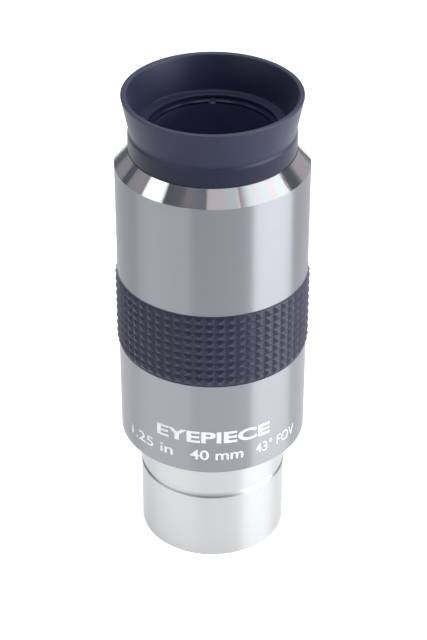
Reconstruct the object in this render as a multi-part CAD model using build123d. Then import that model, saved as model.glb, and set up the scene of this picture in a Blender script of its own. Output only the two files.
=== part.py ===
from build123d import *
import math
import os

# Telescope eyepiece of the four-element symmetrical type, for 1.25 inch focusers.
# Millimetres. +Z runs along the optical axis towards the eye, and the origin is the centre of
# the barrel's open end. Every piece but the grip ring is turned or moulded round, so its
# section is drawn once in the XZ plane and revolved about Z.

# Barrel: chrome-plated tube that slides into the focuser and is threaded for filters.
barrel_diameter = 31.7
barrel_length = 26.5
barrel_wall = 1.95
barrel_end_chamfer = 0.25
undercut_height = 16.2
undercut_width = 1.3
undercut_depth = 0.35
undercut_flank = 0.3
filter_thread_length = 4.5
filter_thread_depth = 0.35
barrel_screw_length = 4.7
barrel_screw_step = 0.55
barrel_thread_depth = 0.3

# Field stop: a thin ring in a pocket at the barrel's upper end, with a sharp inner edge.
stop_drop = 1.6
stop_seat = 0.4
stop_lip = 0.4
stop_height = 1.2
stop_edge = 0.2
stop_bevel = 0.3

# Baffle tube: blackened, ridged liner between the field stop and the lens cell.
baffle_bore_step = 0.1
baffle_flange_step = 0.5
baffle_ridge_pitch = 1.1
baffle_ridge_depth = 0.3
baffle_plain_end = 1.5

# Optics: two cemented doublets, crowns facing each other. The curve gives a 40 mm focal length.
lens_curve = 34.16
lens_rim = 0.5
crown_edge = 2.0
flint_thickness = 2.2
doublet_gap = 0.6
back_focus = 33.2
lens_bevel = 0.2
spacer_wall = 1.0

# Lens cell and its retaining ring.
cell_wall = 1.55
cell_lip_height = 1.45
cell_lip_width = 0.9
cell_rim = 0.2
retainer_height = 2.0
retainer_width = 1.3
slot_width = 1.2
slot_depth = 0.8

# Housing: two turned shells that screw together under the grip ring.
shell_wall = 4.4
upper_shell_height = 25.0
shoulder_height = 3.1
shoulder_width = 2.8
edge_break = 0.25
spigot_length = 4.55
spigot_wall = 1.5
neck_height = 3.9
neck_wall = 1.6
neck_groove_width = 1.6
neck_groove_depth = 0.25

# Rubber grip ring: square-based pyramids in rows and columns, moulded in one ring.
grip_height = 17.5
grip_below_joint = 4.0
grip_seat_depth = 1.05
grip_land_rise = 0.05
grip_tooth_height = 0.45
grip_column_pitch = 2.18
grip_row_pitch = 1.85
grip_end_land = 0.4
grip_clocking = -1.9

# Blackened eye tube, screwed into the neck.
eye_tube_wall = 1.25
eye_tube_bevel = 0.3

# Rubber eyecup: a collar over the neck, and a flared lip above the fold line.
collar_wall = 1.75
collar_setback = 0.05
collar_edge_round = 0.3
flange_height = 0.75
flange_overlap = 0.25
lip_height = 7.5
lip_setback = 0.25
lip_base_wall = 1.5
lip_rim_wall = 1.15
lip_fold_gap = 0.1

# Clearances.
thread_clearance = 0.05
slide_clearance = 0.05
loose_clearance = 0.1
seat_clearance = 0.02

# Radii, from the axis outwards.
barrel_r = barrel_diameter / 2
barrel_bore_r = barrel_r - barrel_wall
screw_r = barrel_r - barrel_screw_step
screw_root_r = screw_r - barrel_thread_depth
screw_hole_r = screw_r + thread_clearance
pocket_r = barrel_bore_r + stop_seat
stop_aperture_r = barrel_bore_r - stop_lip
baffle_r = screw_hole_r + baffle_flange_step
lens_r = stop_aperture_r + lens_rim
lens_seat_r = lens_r + slide_clearance
cell_r = lens_seat_r + cell_wall
cell_hole_r = cell_r + slide_clearance
housing_r = cell_hole_r + shell_wall
seat_r = housing_r - grip_seat_depth
spigot_r = seat_r - spigot_wall
collar_r = housing_r - shoulder_width - collar_setback
collar_bore_r = collar_r - collar_wall
neck_r = collar_bore_r - slide_clearance
well_r = neck_r - neck_wall
lip_base_r = collar_r - lip_setback
lip_rim_r = collar_r + lip_fold_gap + lip_rim_wall


def sag(r):
    """Depth of the lens curve at radius r."""
    return lens_curve - math.sqrt(lens_curve**2 - r**2)


# Heights, from the barrel's open end upwards.
crown_thickness = crown_edge + 2 * sag(lens_r)
shoulder_z = barrel_length
screw_top_z = shoulder_z + barrel_screw_length
stop_z = shoulder_z - stop_drop
stop_top_z = stop_z + stop_height
lens_z = stop_top_z - stop_edge + back_focus
field_crown_z = lens_z + flint_thickness
eye_crown_z = field_crown_z + crown_thickness + doublet_gap
eye_lens_z = eye_crown_z + crown_thickness + flint_thickness
retainer_top_z = eye_lens_z + retainer_height
cell_z = lens_z - cell_lip_height
cell_top_z = retainer_top_z + cell_rim
joint_z = cell_z - spigot_length
grip_z = joint_z - grip_below_joint
upper_z = grip_z + grip_height
polish_z = upper_z + upper_shell_height
collar_z = polish_z + shoulder_height
neck_top_z = collar_z + neck_height
flange_z = neck_top_z + slide_clearance
fold_z = flange_z + flange_height
rim_z = fold_z + lip_height


def ring(points):
    """A closed section of straight (r, z) runs, revolved about Z."""
    section = Face(Wire.make_polygon([(r, 0, z) for r, z in points], close=True))
    return revolve(section, Axis.Z, 360)


def round_body(*curves):
    """A closed section of lines and arcs in the XZ plane, revolved about Z."""
    return revolve(Face(Wire([curve.edge() for curve in curves])), Axis.Z, 360)


def spanner_slots(r_outer, z_top):
    """Two slots across a ring's top face, one on each side, for a pin spanner."""
    return Pos(0, 0, z_top) * Box(slot_width, 2 * r_outer + 1, 2 * slot_depth)


def barrel():
    c = barrel_end_chamfer
    thread_r = barrel_bore_r + filter_thread_depth
    floor_r = barrel_r - undercut_depth
    undercut_top = undercut_height + undercut_width
    return ring([
        (thread_r + c, 0),
        (barrel_r - c, 0),
        (barrel_r, c),
        (barrel_r, undercut_height),
        (floor_r, undercut_height + undercut_flank),
        (floor_r, undercut_top - undercut_flank),
        (barrel_r, undercut_top),
        (barrel_r, shoulder_z),
        (screw_root_r, shoulder_z),
        (screw_root_r, screw_top_z),
        (pocket_r, screw_top_z),
        (pocket_r, stop_z),
        (barrel_bore_r, stop_z),
        (barrel_bore_r, filter_thread_length),
        (thread_r, filter_thread_length),
        (thread_r, c),
    ])


def field_stop_ring():
    outer_r = pocket_r - loose_clearance
    return ring([
        (stop_aperture_r + stop_bevel, stop_z),
        (outer_r, stop_z),
        (outer_r, stop_top_z),
        (stop_aperture_r, stop_top_z),
        (stop_aperture_r, stop_top_z - stop_edge),
    ])


def baffle_tube():
    inner_r = stop_aperture_r + baffle_bore_step
    nose_r = pocket_r - loose_clearance
    flange_r = baffle_r - slide_clearance
    nose_z = stop_top_z + loose_clearance
    ledge_z = screw_top_z + loose_clearance
    ridge_top_z = cell_z - baffle_plain_end
    ridged = ridge_top_z - nose_z - baffle_plain_end
    count = max(1, int(ridged / baffle_ridge_pitch))
    pitch = ridged / count
    ridges = [(inner_r, ridge_top_z)]
    for k in range(count):
        ridges.append((inner_r + baffle_ridge_depth, ridge_top_z - (k + 0.5) * pitch))
        ridges.append((inner_r, ridge_top_z - (k + 1) * pitch))
    return ring([
        (inner_r, nose_z),
        (nose_r, nose_z),
        (nose_r, ledge_z),
        (flange_r, ledge_z),
        (flange_r, cell_z),
        (inner_r, cell_z),
        *ridges,
    ])


def lower_housing():
    ledge_z = screw_top_z + loose_clearance
    return ring([
        (screw_hole_r, shoulder_z),
        (housing_r - edge_break, shoulder_z),
        (housing_r, shoulder_z + edge_break),
        (housing_r, grip_z),
        (seat_r, grip_z),
        (seat_r, joint_z),
        (spigot_r, joint_z),
        (spigot_r, cell_z),
        (baffle_r, cell_z),
        (baffle_r, ledge_z),
        (screw_hole_r, ledge_z),
    ])


def upper_housing():
    spigot_hole_r = spigot_r + thread_clearance
    groove_r = neck_r - neck_groove_depth
    groove_z = collar_z + (neck_height - neck_groove_width) / 2
    groove_top_z = groove_z + neck_groove_width
    return ring([
        (spigot_hole_r, joint_z),
        (seat_r, joint_z),
        (seat_r, upper_z),
        (housing_r, upper_z),
        (housing_r, polish_z),
        (housing_r - shoulder_width, collar_z),
        (neck_r, collar_z),
        (neck_r, groove_z),
        (groove_r, groove_z),
        (groove_r, groove_top_z),
        (neck_r, groove_top_z),
        (neck_r, neck_top_z - edge_break),
        (neck_r - edge_break, neck_top_z),
        (well_r, neck_top_z),
        (well_r, cell_top_z),
        (cell_hole_r, cell_top_z),
        (cell_hole_r, cell_z),
        (spigot_hole_r, cell_z),
    ])


def lens_cell():
    lip_r = lens_r - cell_lip_width
    return ring([
        (lip_r, cell_z),
        (cell_r, cell_z),
        (cell_r, cell_top_z),
        (lens_seat_r, cell_top_z),
        (lens_seat_r, lens_z),
        (lip_r, lens_z),
    ])


def cell_retaining_ring():
    inner_r = lens_r - retainer_width
    outer_r = lens_seat_r - thread_clearance
    body = ring([
        (inner_r, eye_lens_z),
        (outer_r, eye_lens_z),
        (outer_r, retainer_top_z),
        (inner_r, retainer_top_z),
    ])
    return body - spanner_slots(outer_r, retainer_top_z)


def lens_spacer():
    """Plain ring between the crowns. Its inner edges touch the two curves."""
    inner_r = lens_r - spacer_wall
    low_z = field_crown_z + crown_thickness - sag(inner_r) + seat_clearance
    high_z = eye_crown_z + sag(inner_r) - seat_clearance
    return ring([(inner_r, low_z), (lens_r, low_z), (lens_r, high_z), (inner_r, high_z)])


def lens_surface(vertex_z, side):
    """The lens curve from the axis to the rim, rising for side 1 and falling for side -1."""
    half_r = lens_r / 2
    return ThreePointArc(
        (0, 0, vertex_z),
        (half_r, 0, vertex_z + side * sag(half_r)),
        (lens_r, 0, vertex_z + side * sag(lens_r)),
    )


def crown(vertex_z):
    """Biconvex crown, with its lower vertex at vertex_z."""
    lower = lens_surface(vertex_z, 1)
    upper = lens_surface(vertex_z + crown_thickness, -1)
    return round_body(lower, Line(lower @ 1, upper @ 1), upper, Line(upper @ 0, lower @ 0))


def flint(flat_z, side):
    """Plano-concave flint. Its hollow faces up for side 1, and down for side -1."""
    hollow = lens_surface(flat_z + side * (flint_thickness - seat_clearance), side)
    bevel_z = flat_z + side * lens_bevel
    flat_r = lens_r - lens_bevel
    return round_body(
        hollow,
        Line(hollow @ 1, (lens_r, 0, bevel_z)),
        Line((lens_r, 0, bevel_z), (flat_r, 0, flat_z)),
        Line((flat_r, 0, flat_z), (0, 0, flat_z)),
        Line((0, 0, flat_z), hollow @ 0),
    )


def eye_tube():
    outer_r = well_r - thread_clearance
    inner_r = outer_r - eye_tube_wall
    body = ring([
        (inner_r, cell_top_z),
        (outer_r, cell_top_z),
        (outer_r, neck_top_z),
        (inner_r + eye_tube_bevel, neck_top_z),
        (inner_r, neck_top_z - eye_tube_bevel),
    ])
    return body - spanner_slots(outer_r, neck_top_z)


def grip_ring():
    """Pyramids and end lands as flat faces sewn into one solid, bored to sit on the shells."""
    land_r = housing_r + grip_land_rise
    tip_r = land_r + grip_tooth_height
    columns = round(2 * math.pi * land_r / grip_column_pitch)
    rows = round((grip_height - 2 * grip_end_land) / grip_row_pitch)
    low_z = grip_z + grip_end_land
    high_z = upper_z - grip_end_land
    row = (high_z - low_z) / rows

    def at(r, column, z):
        turn = 2 * math.pi * (column % columns) / columns + math.radians(grip_clocking)
        return (r * math.cos(turn), r * math.sin(turn), z)

    def patch(*points):
        return Face(Wire.make_polygon(points, close=True))

    def cell(column, z0, z1):
        return [
            at(land_r, column, z0),
            at(land_r, column + 1, z0),
            at(land_r, column + 1, z1),
            at(land_r, column, z1),
        ]

    faces = [patch(*[at(land_r, i, z) for i in range(columns)]) for z in (grip_z, upper_z)]
    for i in range(columns):
        faces.append(patch(*cell(i, grip_z, low_z)))
        faces.append(patch(*cell(i, high_z, upper_z)))
        for j in range(rows):
            z0 = low_z + j * row
            corners = cell(i, z0, z0 + row)
            tip = at(tip_r, i + 0.5, z0 + row / 2)
            faces += [patch(corners[k - 1], corners[k], tip) for k in range(4)]
    bore = Pos(0, 0, joint_z) * Cylinder(seat_r + seat_clearance, 4 * grip_height)
    return Solid(Shell(faces)) - bore


def eyecup_collar():
    round_z = collar_z + collar_edge_round
    flange_r = well_r - thread_clearance - flange_overlap
    return ring([
        (collar_bore_r, collar_z),
        (collar_r - collar_edge_round, collar_z),
        (collar_r, round_z),
        (collar_r, neck_top_z),
        (lip_base_r, fold_z),
        (flange_r, fold_z),
        (flange_r, flange_z),
        (collar_bore_r, flange_z),
    ])


def eyecup_lip():
    bead_r = lip_rim_wall / 2
    bead_z = rim_z - bead_r
    base_inner = (lip_base_r - lip_base_wall, 0, fold_z)
    base_outer = (lip_base_r, 0, fold_z)
    rim_outer = (lip_rim_r, 0, bead_z)
    rim_inner = (lip_rim_r - lip_rim_wall, 0, bead_z)
    return round_body(
        Line(base_inner, base_outer),
        Line(base_outer, rim_outer),
        ThreePointArc(rim_outer, (lip_rim_r - bead_r, 0, rim_z), rim_inner),
        Line(rim_inner, base_inner),
    )


pieces = {
    "barrel": barrel(),
    "field_stop_ring": field_stop_ring(),
    "baffle_tube": baffle_tube(),
    "lower_housing": lower_housing(),
    "upper_housing": upper_housing(),
    "grip_ring": grip_ring(),
    "lens_cell": lens_cell(),
    "field_lens_flint": flint(lens_z, 1),
    "field_lens_crown": crown(field_crown_z),
    "lens_spacer": lens_spacer(),
    "eye_lens_crown": crown(eye_crown_z),
    "eye_lens_flint": flint(eye_lens_z, -1),
    "cell_retaining_ring": cell_retaining_ring(),
    "eye_tube": eye_tube(),
    "eyecup_collar": eyecup_collar(),
    "eyecup_lip": eyecup_lip(),
}

os.makedirs("parts", exist_ok=True)
for name, piece in pieces.items():
    export_step(piece, f"parts/{name}.step")
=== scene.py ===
import math

import bmesh
import bpy
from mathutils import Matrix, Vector


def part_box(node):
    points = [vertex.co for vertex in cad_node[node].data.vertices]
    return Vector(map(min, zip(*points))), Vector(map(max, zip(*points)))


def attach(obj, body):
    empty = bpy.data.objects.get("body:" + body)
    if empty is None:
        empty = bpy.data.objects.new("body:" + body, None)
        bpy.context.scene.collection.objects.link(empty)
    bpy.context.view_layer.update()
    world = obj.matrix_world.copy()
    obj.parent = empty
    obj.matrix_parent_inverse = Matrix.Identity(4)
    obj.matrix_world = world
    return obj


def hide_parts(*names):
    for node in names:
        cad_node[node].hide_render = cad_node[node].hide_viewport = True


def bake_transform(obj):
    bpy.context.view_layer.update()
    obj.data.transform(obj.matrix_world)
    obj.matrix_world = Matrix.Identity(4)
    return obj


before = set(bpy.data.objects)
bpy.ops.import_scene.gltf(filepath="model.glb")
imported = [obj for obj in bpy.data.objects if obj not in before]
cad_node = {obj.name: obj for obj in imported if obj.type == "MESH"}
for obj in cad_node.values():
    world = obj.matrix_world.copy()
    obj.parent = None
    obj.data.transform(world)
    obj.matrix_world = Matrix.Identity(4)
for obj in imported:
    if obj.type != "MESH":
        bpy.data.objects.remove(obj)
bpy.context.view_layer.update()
MM = 0.001

# ---------------------------------------------------------------------------------- camera
# A long lens looks down on the standing eyepiece from its lettered side, as for a catalogue.
# The axis stays upright in the frame, so the lens is raised and shifted instead of tilted.
aim_height = 45.0 * MM
camera_distance = 423.44 * MM
camera_elevation = math.radians(34.645)

camera_data = bpy.data.cameras.new("camera")
camera_data.lens = 110.0
camera_data.shift_x = 0.0014
camera_data.shift_y = 0.0447
camera_data.clip_start = 0.01
camera = bpy.data.objects.new("camera", camera_data)
camera.location = (
    0.0,
    -camera_distance * math.cos(camera_elevation),
    aim_height + camera_distance * math.sin(camera_elevation),
)
camera.rotation_euler = (math.pi / 2 - camera_elevation, 0.0, 0.0)
bpy.context.scene.collection.objects.link(camera)
bpy.context.scene.camera = camera
bpy.context.scene.view_settings.view_transform = "Standard"


# ----------------------------------------------------------------------------------- floor
# A table of opal acrylic with a fine matte texture, lit softly from below. Standing on it is
# what gives the polished barrel its even, bright look and takes away nearly all the shadow.
def linear(hex_colour):
    """An sRGB hex colour, such as "8f9198", as the linear RGBA that shaders take."""
    channels = [int(hex_colour[i:i + 2], 16) / 255 for i in (0, 2, 4)]
    return [c / 12.92 if c <= 0.04045 else ((c + 0.055) / 1.055) ** 2.4 for c in channels] + [1.0]


def add_node(tree, kind, inputs=None, **settings):
    """Adds a node. An input is a value, a socket, or a node whose first live output is used."""
    node = tree.nodes.new(kind)
    for name, value in settings.items():
        setattr(node, name, value)
    for name, value in (inputs or {}).items():
        if isinstance(value, bpy.types.Node):
            value = next(socket for socket in value.outputs if socket.enabled)
        if isinstance(value, bpy.types.NodeSocket):
            tree.links.new(value, node.inputs[name])
        else:
            node.inputs[name].default_value = value
    return node


def new_material(name):
    """An empty node material, and its node tree."""
    material = bpy.data.materials.new(name)
    material.use_nodes = True
    material.node_tree.nodes.clear()
    return material, material.node_tree


def new_object(name, bm):
    """Turns an edited mesh into an object in the scene."""
    mesh = bpy.data.meshes.new(name)
    bm.to_mesh(mesh)
    bm.free()
    thing = bpy.data.objects.new(name, mesh)
    bpy.context.scene.collection.objects.link(thing)
    return thing


table_half_width = 0.7
table_grain = 0.4 * MM
table_grain_depth = 0.02 * MM

# Opal acrylic: a clean white with no shine, a faint glow of its own, and a texture too
# shallow to cast shadows.
opal_acrylic, tree = new_material("matte opal acrylic")
point = add_node(tree, "ShaderNodeTexCoord").outputs["Object"]
grain = add_node(tree, "ShaderNodeTexNoise", {"Vector": point, "Scale": 1 / table_grain})
texture = add_node(tree, "ShaderNodeBump", {"Height": grain, "Distance": table_grain_depth})
surface = add_node(tree, "ShaderNodeBsdfPrincipled", {
    "Base Color": linear("d2d2d2"),
    "Roughness": 0.9,
    "Specular IOR Level": 0.2,
    "Emission Color": linear("ffffff"),
    "Emission Strength": 0.7,
    "Normal": texture,
})
add_node(tree, "ShaderNodeOutputMaterial", {"Surface": surface})

bm = bmesh.new()
bmesh.ops.create_grid(bm, x_segments=2, y_segments=2, size=table_half_width)
floor = new_object("floor", bm)
floor.data.materials.append(opal_acrylic)


# ------------------------------------------------------------------------------ soft lights
# Diffusing panels round a white table: a bright strip and a dimmer sheet above it on the
# right, a small one and a low strip on the left, one in front, one behind and one straight
# overhead. Weak fills stand between them, and the room is dim.
def add_panel(name, bearing, elevation, distance, width, height, radiance):
    """A soft panel facing the eyepiece. Bearing 0 is the camera's side, and 90 its right.

    Angles are in degrees and lengths in metres.
    """
    turn = math.radians(bearing)
    lift = math.radians(elevation)
    outwards = Vector((
        math.sin(turn) * math.cos(lift), -math.cos(turn) * math.cos(lift), math.sin(lift)
    ))
    light = bpy.data.lights.new(name, "AREA")
    light.shape = "RECTANGLE"
    light.size = width
    light.size_y = height
    light.energy = radiance * math.pi * width * height
    panel = bpy.data.objects.new(name, light)
    panel.location = Vector((0.0, 0.0, 0.07)) + outwards * distance
    panel.rotation_euler = outwards.to_track_quat("Z", "Y").to_euler()
    panel.visible_camera = False
    bpy.context.scene.collection.objects.link(panel)


add_panel("right_low_panel", 71, 13, 0.9, 0.86, 0.36, 11.2)
add_panel("right_high_panel", 69, 41, 0.9, 0.9, 0.34, 0.95)
add_panel("right_back_fill", 135, 10, 0.9, 0.8, 0.3, 0.32)
add_panel("left_panel", -80, 38, 0.9, 0.31, 0.26, 1.6)
add_panel("left_low_panel", -57, 7, 0.9, 1.17, 0.22, 3.2)
add_panel("left_side_fill", -103, 29, 0.9, 0.3, 0.24, 0.2)
add_panel("left_back_fill", -131, 12, 0.9, 0.32, 0.2, 0.18)
add_panel("front_panel", 16, 54, 0.9, 0.46, 0.3, 0.42)
add_panel("top_panel", 0, 90, 1.1, 0.9, 0.9, 3.6)
add_panel("back_panel", 180, 50, 1.1, 1.2, 0.6, 1.2)

world = bpy.data.worlds.new("studio room")
world.use_nodes = True
world.node_tree.nodes.clear()
tree = world.node_tree
seen = add_node(tree, "ShaderNodeLightPath").outputs["Is Camera Ray"]
dim_room = add_node(tree, "ShaderNodeBackground", {"Color": linear("585c66"), "Strength": 1.0})
backdrop = add_node(tree, "ShaderNodeBackground", {"Color": linear("ffffff"), "Strength": 1.0})
room = add_node(tree, "ShaderNodeMixShader", {0: seen, 1: dim_room, 2: backdrop})
add_node(tree, "ShaderNodeOutputWorld", {"Surface": room})
bpy.context.scene.world = world


# ---------------------------------------------------------------------------------- barrel
# The push-fit tube: turned brass, polished and chrome-plated outside, with a shallow safety
# groove left as turned. Its bore is painted black, and both its threads are cut in the metal.
def split_place(tree):
    """The object's own coordinates: the point itself, its height and its distance from the axis."""
    point = add_node(tree, "ShaderNodeTexCoord").outputs["Object"]
    axes = add_node(tree, "ShaderNodeSeparateXYZ", {"Vector": point}).outputs
    flat = add_node(tree, "ShaderNodeCombineXYZ", {"X": axes["X"], "Y": axes["Y"]})
    radius = add_node(tree, "ShaderNodeVectorMath", {0: flat}, operation="LENGTH")
    return point, axes["Z"], radius


def turning_marks(tree, point, pitch, depth):
    """Lathe marks: noise that changes every pitch along the axis and hardly at all around it."""
    squeeze = add_node(tree, "ShaderNodeMapping", {
        "Vector": point, "Scale": (0.02 / pitch, 0.02 / pitch, 1 / pitch),
    })
    marks = add_node(tree, "ShaderNodeTexNoise", {
        "Vector": squeeze, "Scale": 1.0, "Detail": 3.0, "Roughness": 0.6,
    })
    return marks, add_node(tree, "ShaderNodeBump", {"Height": marks, "Distance": depth})


barrel_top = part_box("barrel")[1].z
groove_middle = 16.85 * MM
groove_width = 1.3 * MM
black_bore_r = 14.0 * MM
polish_line_pitch = 0.5 * MM
polish_line_depth = 0.0002 * MM
haze_size = 9 * MM

# Chrome over brass polished in the lathe: pale and bright, with marks round it that draw
# soft upright bands, and a little haze. The groove scatters more and is painted paler, as
# painted light over its dark flanks, and the bore is dead black.
chrome, tree = new_material("polished chrome plate")
point, height, radius = split_place(tree)
relief = turning_marks(tree, point, polish_line_pitch, polish_line_depth)[1]
haze = add_node(tree, "ShaderNodeTexNoise", {"Vector": point, "Scale": 1 / haze_size, "Detail": 4.0})
in_groove = add_node(tree, "ShaderNodeMath", {
    0: height, 1: groove_middle, 2: groove_width / 2,
}, operation="COMPARE")
in_bore = add_node(tree, "ShaderNodeMath", {0: radius, 1: black_bore_r}, operation="LESS_THAN")
polished = add_node(tree, "ShaderNodeMapRange", {"Value": haze, "To Min": 0.29, "To Max": 0.33})
outside = add_node(tree, "ShaderNodeMapRange", {"Value": in_groove, "To Min": polished, "To Max": 0.55})
# Painted light: the plate is coloured paler in the groove, over its dark flanks.
plate_with_painted_groove_light = add_node(tree, "ShaderNodeMix", {
    0: in_groove, 6: linear("bfc0c1"), 7: linear("d2d3d4"),
}, data_type="RGBA")
tangent = add_node(tree, "ShaderNodeTangent", direction_type="RADIAL", axis="Z")
surface = add_node(tree, "ShaderNodeBsdfPrincipled", {
    "Base Color": add_node(tree, "ShaderNodeMix", {
        0: in_bore, 6: plate_with_painted_groove_light, 7: linear("141416"),
    }, data_type="RGBA"),
    "Metallic": add_node(tree, "ShaderNodeMapRange", {"Value": in_bore, "To Min": 1.0, "To Max": 0.0}),
    "Roughness": add_node(tree, "ShaderNodeMapRange", {
        "Value": in_bore, "To Min": outside, "To Max": 0.75,
    }),
    "Anisotropic": 0.9,
    "Anisotropic Rotation": 0.25,
    "Tangent": tangent,
    "Normal": relief,
})
add_node(tree, "ShaderNodeOutputMaterial", {"Surface": surface})
cad_node["barrel"].data.materials[0] = chrome


def thread_ridge(name, root_r, crest_r, pitch, low_z, high_z, material, body):
    """A right-handed helical ridge that stands on a plain wall, running out at both ends."""
    steps_per_turn = 96
    root_half = pitch * 0.44
    crest_half = pitch * 0.06
    run_out = 0.4
    thinnest = 0.04
    turns = (high_z - low_z - 2 * root_half) / pitch
    count = int(turns * steps_per_turn)
    bm = bmesh.new()
    rings = []
    for i in range(count + 1):
        turned = i / steps_per_turn
        angle = 2 * math.pi * turned
        fade = min(1.0, turned / run_out, (turns - turned) / run_out)
        tip_r = root_r + (crest_r - root_r) * max(thinnest, fade)
        mid_z = low_z + root_half + turned * pitch
        section = [
            (root_r, -root_half), (tip_r, -crest_half), (tip_r, crest_half), (root_r, root_half),
        ]
        rings.append([
            bm.verts.new((r * math.cos(angle), r * math.sin(angle), mid_z + z)) for r, z in section
        ])
    for here, after in zip(rings, rings[1:]):
        for k in range(4):
            bm.faces.new((here[k - 1], here[k], after[k], after[k - 1]))
    bm.faces.new(rings[0])
    bm.faces.new(rings[-1][::-1])
    bmesh.ops.recalc_face_normals(bm, faces=bm.faces)
    ridge = new_object(name, bm)
    ridge.data.materials.append(material)
    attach(ridge, body)


filter_thread_r = 14.25 * MM
filter_crest_r = 13.95 * MM
filter_pitch = 0.6 * MM
filter_thread_top = 4.45 * MM
thread_inset = 0.3 * MM
screw_root_r = 15.0 * MM
screw_crest_r = 15.29 * MM
screw_pitch = 0.75 * MM
screw_end_gap = 0.1 * MM
shoulder_z = 26.5 * MM
stain_size = 1.5 * MM

# Bare cut metal under a thin plate: bright on the flanks, so the threads read as fine lines,
# and mottled where oil has dried in them.
cut_thread, tree = new_material("chrome-plated screw thread")
point = add_node(tree, "ShaderNodeTexCoord").outputs["Object"]
stain = add_node(tree, "ShaderNodeTexNoise", {"Vector": point, "Scale": 1 / stain_size})
surface = add_node(tree, "ShaderNodeBsdfPrincipled", {
    "Base Color": add_node(tree, "ShaderNodeMix", {
        0: stain, 6: linear("a9abb0"), 7: linear("c9cace"),
    }, data_type="RGBA"),
    "Metallic": 1.0,
    "Roughness": add_node(tree, "ShaderNodeMapRange", {"Value": stain, "To Min": 0.2, "To Max": 0.34}),
})
add_node(tree, "ShaderNodeOutputMaterial", {"Surface": surface})
thread_ridge(
    "filter_thread", filter_thread_r, filter_crest_r, filter_pitch,
    thread_inset, filter_thread_top, cut_thread, "barrel",
)
thread_ridge(
    "barrel_screw_thread", screw_root_r, screw_crest_r, screw_pitch,
    shoulder_z + thread_inset, barrel_top - screw_end_gap, cut_thread, "barrel",
)


# ------------------------------------------------- field stop, baffle tube, cell and rings
# Turned aluminium pieces that must not shine, so they are black anodised: the thin ring with
# the sharp edge at the focus, the ridged liner above it, and the cell with its plain rings.
black_mark_pitch = 0.25 * MM
black_mark_depth = 0.003 * MM
pore_size = 0.3 * MM

# Matte black anodising is a dull near-black, with faint turning marks and a greyer line where
# an edge has rubbed.
black_anodised, tree = new_material("matte black anodised aluminium")
point = add_node(tree, "ShaderNodeTexCoord").outputs["Object"]
marks, relief = turning_marks(tree, point, black_mark_pitch, black_mark_depth)
pores = add_node(tree, "ShaderNodeTexNoise", {"Vector": point, "Scale": 1 / pore_size})
rubbed = add_node(tree, "ShaderNodeMapRange", {
    "Value": add_node(tree, "ShaderNodeNewGeometry").outputs["Pointiness"],
    "From Min": 0.53, "From Max": 0.62,
})
dull = add_node(tree, "ShaderNodeMix", {
    0: pores, 6: linear("111114"), 7: linear("1b1b20"),
}, data_type="RGBA")
surface = add_node(tree, "ShaderNodeBsdfPrincipled", {
    "Base Color": add_node(tree, "ShaderNodeMix", {
        0: rubbed, 6: dull, 7: linear("3a3a3e"),
    }, data_type="RGBA"),
    "Roughness": add_node(tree, "ShaderNodeMapRange", {"Value": marks, "To Min": 0.46, "To Max": 0.62}),
    "IOR": 1.6,
    "Normal": relief,
})
add_node(tree, "ShaderNodeOutputMaterial", {"Surface": surface})
for name in ("field_stop_ring", "baffle_tube", "lens_cell", "lens_spacer", "cell_retaining_ring"):
    cad_node[name].data.materials[0] = black_anodised


# ------------------------------------------------------------------------ the two doublets
# Polished optical glass, a crown and a denser flint cemented together, twice. The outer faces
# carry a single anti-reflection coating, and the ground rims are inked black.
clear_r = 13.9 * MM
smear_size = 4 * MM


def glass(name, ior, tint, coating_colour):
    """Coated optical glass. The rim is inked, and only what passes between the faces is clear."""
    material, tree = new_material(name)
    point, _, radius = split_place(tree)
    inked = add_node(tree, "ShaderNodeMath", {0: radius, 1: clear_r}, operation="GREATER_THAN")
    smear = add_node(tree, "ShaderNodeTexNoise", {"Vector": point, "Scale": 1 / smear_size})
    surface = add_node(tree, "ShaderNodeBsdfPrincipled", {
        "Base Color": add_node(tree, "ShaderNodeMix", {
            0: inked, 6: linear(tint), 7: linear("08080a"),
        }, data_type="RGBA"),
        "Roughness": add_node(tree, "ShaderNodeMapRange", {
            "Value": smear, "To Min": 0.0, "To Max": 0.012,
        }),
        "IOR": ior,
        "Transmission Weight": add_node(tree, "ShaderNodeMapRange", {
            "Value": inked, "To Min": 1.0, "To Max": 0.0,
        }),
        "Specular IOR Level": 0.35,
        "Specular Tint": linear(coating_colour),
    })
    add_node(tree, "ShaderNodeOutputMaterial", {"Surface": surface})
    return material


# Crown glass is the clearer of the two, and its coating returns a violet-blue.
crown_glass = glass("coated crown glass", 1.517, "f4faf7", "8d90d8")
# Flint glass is denser, with a trace of yellow, and its coating returns a cooler blue.
flint_glass = glass("coated flint glass", 1.62, "f7f8f0", "7f92cf")
for name in ("field_lens_crown", "eye_lens_crown"):
    cad_node[name].data.materials[0] = crown_glass
for name in ("field_lens_flint", "eye_lens_flint"):
    cad_node[name].data.materials[0] = flint_glass


# --------------------------------------------------------------------------- housing shells
# Two shells of aluminium bar turned on a lathe, lacquered clear and screwed together under
# the grip. The bevel below the eyecup is cut last with a sharp tool and left mirror-bright.
housing_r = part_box("lower_housing")[1].x
joint_z = 53.1 * MM
bevel_low = 91.6 * MM
bevel_high = 94.7 * MM
feed_mark_pitch = 0.35 * MM
feed_mark_depth = 0.0012 * MM
bevel_margin = 0.01 * MM
wipe_size = 14 * MM
streaks_around = 9.0

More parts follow.
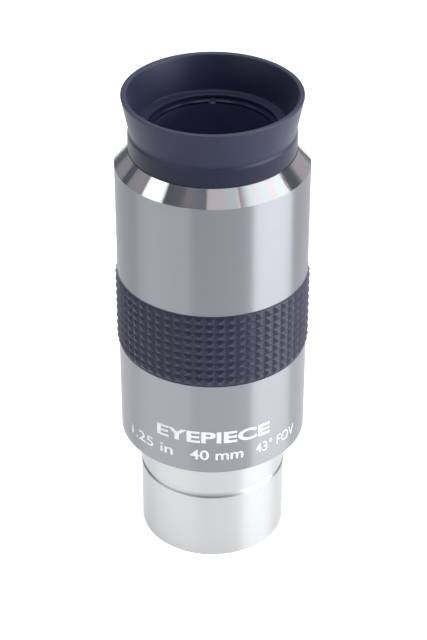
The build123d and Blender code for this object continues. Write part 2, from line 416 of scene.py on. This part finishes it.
# Fine lathe marks run round the shell, so a light smears along the axis and stays sharp
# across it: that is what draws the upright bands. The marks are drawn coarser than the real
# feed of about 0.1 mm, which is too fine to show. The bright-cut bevel has none, only the
# faint pink and green of light split by its tool marks. The lower shell is a shade paler
# and cut a little finer.
aluminium, tree = new_material("satin turned aluminium")
point, height, _ = split_place(tree)
marks, relief = turning_marks(tree, point, feed_mark_pitch, feed_mark_depth)
wipe = add_node(tree, "ShaderNodeTexNoise", {"Vector": point, "Scale": 1 / wipe_size, "Detail": 5.0})
on_bevel = add_node(tree, "ShaderNodeMath", {
    0: height, 1: (bevel_low + bevel_high) / 2, 2: (bevel_high - bevel_low) / 2 - bevel_margin,
}, operation="COMPARE")
flat = add_node(tree, "ShaderNodeVectorMath", {0: point, 1: (1, 1, 0)}, operation="MULTIPLY")
outwards = add_node(tree, "ShaderNodeVectorMath", {0: flat}, operation="NORMALIZE")
streaks = add_node(tree, "ShaderNodeTexNoise", {"Vector": outwards, "Scale": streaks_around, "Detail": 2.0})
contrast = add_node(tree, "ShaderNodeMapRange", {"Value": streaks, "From Min": 0.35, "From Max": 0.65})
rainbow = add_node(tree, "ShaderNodeMix", {
    0: contrast, 6: linear("f0dcdc"), 7: linear("dbe9ea"),
}, data_type="RGBA")
fine_cut = add_node(tree, "ShaderNodeMapRange", {"Value": marks, "To Min": 0.32, "To Max": 0.38})
toned = add_node(tree, "ShaderNodeMix", {
    0: marks, 6: linear("888a91"), 7: linear("95979d"),
}, data_type="RGBA")
cloudy = add_node(tree, "ShaderNodeMix", {0: wipe, 6: toned, 7: linear("8f9196")}, data_type="RGBA")
on_lower = add_node(tree, "ShaderNodeMath", {0: height, 1: joint_z}, operation="LESS_THAN")
satin = add_node(tree, "ShaderNodeMapRange", {"Value": on_lower, "To Min": fine_cut, "To Max": 0.3})
shells = add_node(tree, "ShaderNodeMix", {0: on_lower, 6: cloudy, 7: linear("94969a")}, data_type="RGBA")
tangent = add_node(tree, "ShaderNodeTangent", direction_type="RADIAL", axis="Z")
surface = add_node(tree, "ShaderNodeBsdfPrincipled", {
    "Base Color": add_node(tree, "ShaderNodeMix", {
        0: on_bevel, 6: shells, 7: rainbow,
    }, data_type="RGBA"),
    "Metallic": 1.0,
    "Roughness": add_node(tree, "ShaderNodeMapRange", {
        "Value": on_bevel, "To Min": satin, "To Max": 0.11,
    }),
    "Anisotropic": 1.0,
    "Anisotropic Rotation": 0.25,
    "Tangent": tangent,
    "Normal": relief,
})
add_node(tree, "ShaderNodeOutputMaterial", {"Surface": surface})
cad_node["lower_housing"].data.materials[0] = aluminium
cad_node["upper_housing"].data.materials[0] = aluminium


# -------------------------------------------------------------------------------- lettering
# Two lines of plain capitals pad-printed in silver-white ink on the lower shell: what the
# thing is, and its numbers. The ink stands a few hundredths of a millimetre proud.
ink_thickness = 0.03 * MM
ink_lift = 0.004 * MM
longest_flat = 0.45 * MM
font_capital_height = 0.729
pigment_size = 0.15 * MM
name_line_z = 34.6 * MM
name_capital = 2.9 * MM
number_line_z = 30.1 * MM
number_capital = 2.6 * MM

# Silver-white pad-printing ink: pale and slightly glossy, with a fine speckle of pigment.
ink, tree = new_material("silver-white pad-printing ink")
point = add_node(tree, "ShaderNodeTexCoord").outputs["Object"]
speckle = add_node(tree, "ShaderNodeTexNoise", {"Vector": point, "Scale": 1 / pigment_size})
surface = add_node(tree, "ShaderNodeBsdfPrincipled", {
    "Base Color": add_node(tree, "ShaderNodeMix", {
        0: speckle, 6: linear("d4d5d8"), 7: linear("e6e7e9"),
    }, data_type="RGBA"),
    "Roughness": 0.42,
})
add_node(tree, "ShaderNodeOutputMaterial", {"Surface": surface})


def print_line(name, words, base_z, capital_height, start_bearing, end_bearing, weight):
    """Prints words round the shell between two bearings in degrees. 0 faces the camera's side."""
    text = bpy.data.curves.new(name, "FONT")
    text.body = words
    text.offset = weight
    text.resolution_u = 4
    draft = bpy.data.objects.new(name + "_draft", text)
    bpy.context.scene.collection.objects.link(draft)
    flat = bpy.data.meshes.new_from_object(draft.evaluated_get(bpy.context.evaluated_depsgraph_get()))
    bpy.data.objects.remove(draft)
    bm = bmesh.new()
    bm.from_mesh(flat)
    bpy.data.meshes.remove(flat)
    left = min(v.co.x for v in bm.verts)
    right = max(v.co.x for v in bm.verts)
    width = math.radians(end_bearing - start_bearing) * housing_r
    for v in bm.verts:
        v.co.x = (v.co.x - left) / (right - left) * width
        v.co.y *= capital_height / font_capital_height
    cuts = int(width / longest_flat)
    for i in range(1, cuts):
        bmesh.ops.bisect_plane(
            bm, geom=bm.verts[:] + bm.edges[:] + bm.faces[:], dist=1e-7,
            plane_co=(width * i / cuts, 0, 0), plane_no=(1, 0, 0),
        )
    raised = bmesh.ops.extrude_face_region(bm, geom=bm.faces[:])
    top = {v for v in raised["geom"] if isinstance(v, bmesh.types.BMVert)}
    for v in bm.verts:
        bearing = math.radians(start_bearing) + v.co.x / housing_r
        r = housing_r + ink_lift + (ink_thickness if v in top else 0.0)
        v.co = Vector((r * math.sin(bearing), -r * math.cos(bearing), base_z + v.co.y))
    bmesh.ops.recalc_face_normals(bm, faces=bm.faces)
    line = new_object(name, bm)
    line.data.materials.append(ink)
    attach(line, "housing")


print_line("lettering_name", "EYEPIECE", name_line_z, name_capital, -36, 37, 0.03)
print_line("lettering_size", "1.25 in", number_line_z, number_capital, -60, -25, 0.016)
print_line("lettering_focal_length", "40 mm", number_line_z, number_capital, -14, 19, 0.014)
print_line("lettering_field", "43° FOV", number_line_z, number_capital, 27, 60, 0.006)


# ---------------------------------------------------------------------------- rubber grip
# A ring of black rubber moulded with rows of small square-based pyramids, stretched into the
# seat between the shells. The mould leaves the tips and ridges slightly blunt.
grip_low, grip_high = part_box("grip_ring")
grip_columns = 58
grip_rows = 9
grip_clocking = math.radians(-1.9)
grip_end_land = 0.4 * MM
grip_land_r = 20.1 * MM
grip_tip_r = 20.55 * MM
grip_bore_r = 19.02 * MM
grip_blunting = 0.055 * MM
grip_burnish = 0.16 * MM
rubber_grain = 0.12 * MM
grip_bloom = 6 * MM
grip_grain_depth = 0.01 * MM

# Matte black rubber: a soft broad sheen on each facet, a fine eroded grain from the mould,
# and tips that handling has burnished a little paler.
grip_rubber, tree = new_material("moulded matte rubber")
point, _, radius = split_place(tree)
grain = add_node(tree, "ShaderNodeTexNoise", {"Vector": point, "Scale": 1 / rubber_grain, "Detail": 3.0})
bloom = add_node(tree, "ShaderNodeTexNoise", {"Vector": point, "Scale": 1 / grip_bloom, "Detail": 3.0})
dusty = add_node(tree, "ShaderNodeMix", {
    0: bloom, 6: linear("1f1f34"), 7: linear("28283d"),
}, data_type="RGBA")
burnished = add_node(tree, "ShaderNodeMapRange", {
    "Value": radius, "From Min": grip_tip_r - grip_burnish, "From Max": grip_tip_r,
})
rough = add_node(tree, "ShaderNodeBump", {"Height": grain, "Distance": grip_grain_depth})
surface = add_node(tree, "ShaderNodeBsdfPrincipled", {
    "Base Color": add_node(tree, "ShaderNodeMix", {
        0: burnished, 6: dusty, 7: linear("47475c"),
    }, data_type="RGBA"),
    "Roughness": add_node(tree, "ShaderNodeMapRange", {"Value": grain, "To Min": 0.34, "To Max": 0.48}),
    "Specular IOR Level": 0.24,
    "Sheen Weight": 0.05,
    "Sheen Roughness": 0.4,
    "Normal": rough,
})
add_node(tree, "ShaderNodeOutputMaterial", {"Surface": surface})


def around(bm, r, column, z):
    """A new vertex on the grip at that radius, column and height."""
    turn = 2 * math.pi * column / grip_columns + grip_clocking
    return bm.verts.new((r * math.cos(turn), r * math.sin(turn), z))


bm = bmesh.new()
row_height = (grip_high.z - grip_low.z - 2 * grip_end_land) / grip_rows
corner_heights = [grip_low.z]
corner_heights += [grip_low.z + grip_end_land + j * row_height for j in range(grip_rows + 1)]
corner_heights += [grip_high.z]
corners = [
    [around(bm, grip_land_r, i, z) for i in range(grip_columns)] for z in corner_heights
]
bore_rims = [
    [around(bm, grip_bore_r, i, z) for i in range(grip_columns)] for z in (grip_low.z, grip_high.z)
]
ridges = []
for i in range(grip_columns):
    k = (i + 1) % grip_columns
    for low, high in ((corners[0], corners[1]), (corners[-2], corners[-1])):
        bm.faces.new((low[i], low[k], high[k], high[i]))
    for j in range(grip_rows):
        low, high = corners[j + 1], corners[j + 2]
        base = (low[i], low[k], high[k], high[i])
        tip = around(bm, grip_tip_r, i + 0.5, (low[i].co.z + high[i].co.z) / 2)
        for n in range(4):
            bm.faces.new((base[n - 1], base[n], tip))
        ridges += tip.link_edges
    bm.faces.new((bore_rims[0][k], bore_rims[0][i], bore_rims[1][i], bore_rims[1][k]))
    bm.faces.new((bore_rims[0][i], bore_rims[0][k], corners[0][k], corners[0][i]))
    bm.faces.new((corners[-1][i], corners[-1][k], bore_rims[1][k], bore_rims[1][i]))
bmesh.ops.bevel(
    bm, geom=ridges, offset=grip_blunting, offset_type="OFFSET", segments=2, profile=0.5,
    affect="EDGES",
)
bmesh.ops.recalc_face_normals(bm, faces=bm.faces)
grip = new_object("pyramid_grip", bm)
grip.data.materials.append(grip_rubber)
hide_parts("grip_ring")
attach(grip, "housing")


# -------------------------------------------------------------------------------- eye tube
# The tube screwed into the neck, turned in aluminium and lacquered gloss black. Its rim is
# the dark ring inside the eyecup, and the well below it leads down to the eye lens.
lacquer_flow = 3 * MM
lacquer_flow_depth = 0.02 * MM
lacquer_top = 97.9 * MM

# Blue-black gloss lacquer over metal: near-black on the rim, with a sharp highlight along its
# edge. Down the bore it is painted a paler blue, as painted light that lifts the shade in the deep well.
black_lacquer, tree = new_material("gloss blue-black lacquer")
point, height, _ = split_place(tree)
flow = add_node(tree, "ShaderNodeTexNoise", {"Vector": point, "Scale": 1 / lacquer_flow})
on_rim = add_node(tree, "ShaderNodeMath", {0: height, 1: lacquer_top}, operation="GREATER_THAN")
# Painted light: the bore is coloured paler than the rim, to lift the shade in the well.
bore_painted_light = add_node(tree, "ShaderNodeMix", {
    0: flow, 6: linear("3e4064"), 7: linear("484a6c"),
}, data_type="RGBA")
settled = add_node(tree, "ShaderNodeBump", {"Height": flow, "Distance": lacquer_flow_depth})
surface = add_node(tree, "ShaderNodeBsdfPrincipled", {
    "Base Color": add_node(tree, "ShaderNodeMix", {
        0: on_rim, 6: bore_painted_light, 7: linear("1c1e36"),
    }, data_type="RGBA"),
    "Roughness": add_node(tree, "ShaderNodeMapRange", {"Value": flow, "To Min": 0.16, "To Max": 0.24}),
    "Specular IOR Level": 0.35,
    "Normal": settled,
})
add_node(tree, "ShaderNodeOutputMaterial", {"Surface": surface})
cad_node["eye_tube"].data.materials[0] = black_lacquer


# ---------------------------------------------------------------------------------- eyecup
# One soft rubber moulding: a collar that grips the neck, an inner ledge, and above a slight
# waist the thin flared lip. The lip folds down over the collar for people who wear glasses.
def rounded(corners, steps=6):
    """Points round a closed outline of (r, z, setback) corners, each corner eased by setback."""
    points = []
    for n, (r, z, setback) in enumerate(corners):
        here = Vector((r, z))
        before = Vector(corners[n - 1][:2])
        after = Vector(corners[(n + 1) % len(corners)][:2])
        if setback == 0:
            points.append(here)
            continue
        start = here + (before - here).normalized() * setback
        end = here + (after - here).normalized() * setback
        for k in range(steps + 1):
            t = k / steps
            points.append(start * (1 - t) ** 2 + here * 2 * t * (1 - t) + end * t ** 2)
    return points


def turned_body(name, outline, segments=192):
    """Revolves a closed outline of (r, z) points about the optical axis into a smooth object."""
    bm = bmesh.new()
    hoops = []
    for i in range(segments):
        angle = 2 * math.pi * i / segments
        hoops.append([bm.verts.new((r * math.cos(angle), r * math.sin(angle), z)) for r, z in outline])
    for i, hoop in enumerate(hoops):
        after = hoops[(i + 1) % segments]
        for k in range(len(outline)):
            bm.faces.new((hoop[k - 1], hoop[k], after[k], after[k - 1]))
    bmesh.ops.recalc_face_normals(bm, faces=bm.faces)
    body = new_object(name, bm)
    body.data.shade_smooth()
    body.data.set_sharp_from_angle(angle=math.radians(35))
    return body


collar_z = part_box("eyecup_collar")[0].z
lip_low, lip_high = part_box("eyecup_lip")
band_r = 17.2 * MM
neck_bore_r = 15.45 * MM
flange_r = 13.5 * MM
flange_low = 98.65 * MM
band_top = 98.6 * MM
waist_r = 16.95 * MM
waist_inner_r = 15.45 * MM
fold_z = lip_low.z
rim_r = lip_high.x
rim_wall = 1.15 * MM
rim_inner_r = rim_r - rim_wall
rim_z = lip_high.z
lip_spans = 10
cup_bloom = 8 * MM
cup_grain_depth = 0.006 * MM
band_shade_fade = 0.4 * MM
rim_highlight_depth = 0.4 * MM
rim_highlight_full_depth = 0.05 * MM
root_depth = 0.2 * MM
root_height = 0.45 * MM
root_cover = 0.03 * MM
root_lean = 0.15 * MM
root_round = 0.4 * MM

eyecup_outline = rounded([
    (neck_bore_r, collar_z, 0.15 * MM),
    (band_r, collar_z, 0.35 * MM),
    (band_r, band_top - 0.1 * MM, 0.3 * MM),
    (waist_r, band_top + 0.5 * MM, 0.25 * MM),
    (waist_r, fold_z, 0.0),
    *[
        (waist_r + (rim_r - waist_r) * k / lip_spans, fold_z + (rim_z - fold_z) * k / lip_spans, 0.0)
        for k in range(1, lip_spans)
    ],
    (rim_r, rim_z, 0.4 * MM),
    (rim_inner_r, rim_z, 0.35 * MM),
    *[
        (
            waist_inner_r + (rim_inner_r - waist_inner_r) * k / lip_spans,
            fold_z + (rim_z - fold_z) * k / lip_spans,
            0.0,
        )
        for k in range(lip_spans - 1, 0, -1)
    ],
    (waist_inner_r, fold_z, 0.3 * MM),
    (flange_r, fold_z, 0.2 * MM),
    (flange_r, flange_low, 0.1 * MM),
    (neck_bore_r, flange_low, 0.0),
])

# Soft moulded rubber, smooth to the touch: deep blue-black with a low broad sheen, a faint
# paler bloom in patches, and the finest grain from the mould. The band below the waist is
# painted darker as shade, and the top of the rim is painted paler as a highlight.
eyecup_rubber, tree = new_material("soft smooth rubber")
point, height, _ = split_place(tree)
grain = add_node(tree, "ShaderNodeTexNoise", {"Vector": point, "Scale": 1 / rubber_grain, "Detail": 2.0})
bloom = add_node(tree, "ShaderNodeTexNoise", {"Vector": point, "Scale": 1 / cup_bloom, "Detail": 5.0})
rough = add_node(tree, "ShaderNodeBump", {"Height": grain, "Distance": cup_grain_depth})
supple = add_node(tree, "ShaderNodeMix", {
    0: bloom, 6: linear("1d2137"), 7: linear("282d45"),
}, data_type="RGBA")
# Painted shade: the band below the waist is coloured darker.
band_painted_shade = add_node(tree, "ShaderNodeMapRange", {
    "Value": height, "From Min": band_top, "From Max": band_top - band_shade_fade,
})
cup_with_band_shade = add_node(tree, "ShaderNodeMix", {
    0: band_painted_shade, 6: supple, 7: linear("151a30"),
}, data_type="RGBA")
# Painted highlight: the top of the rim is coloured paler.
rim_painted_highlight = add_node(tree, "ShaderNodeMapRange", {
    "Value": height, "From Min": rim_z - rim_highlight_depth, "From Max": rim_z - rim_highlight_full_depth,
})
surface = add_node(tree, "ShaderNodeBsdfPrincipled", {
    "Base Color": add_node(tree, "ShaderNodeMix", {
        0: rim_painted_highlight, 6: cup_with_band_shade, 7: linear("3b3e4f"),
    }, data_type="RGBA"),
    "Roughness": add_node(tree, "ShaderNodeMapRange", {"Value": bloom, "To Min": 0.36, "To Max": 0.46}),
    "Specular IOR Level": 0.2,
    "Sheen Weight": 0.04,
    "Sheen Roughness": 0.5,
    "Normal": rough,
})
add_node(tree, "ShaderNodeOutputMaterial", {"Surface": surface})
eyecup = turned_body("folding_eyecup", eyecup_outline)
eyecup.data.materials.append(eyecup_rubber)
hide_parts("eyecup_collar", "eyecup_lip")
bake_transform(eyecup)

# The thick root of the lip stays where it is when the lip folds, and is what then shows as
# the rounded top of the fold. With the lip up, it is buried in the wall.
fold_root = turned_body("eyecup_fold_root", rounded([
    (waist_inner_r + root_cover, fold_z - root_depth, 0.0),
    (waist_r - root_cover, fold_z - root_depth, 0.0),
    (waist_r, fold_z + root_height, root_round),
    (waist_inner_r + root_lean, fold_z + root_height, root_round),
]))
fold_root.data.materials.append(eyecup_rubber)
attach(fold_root, "eyecup")
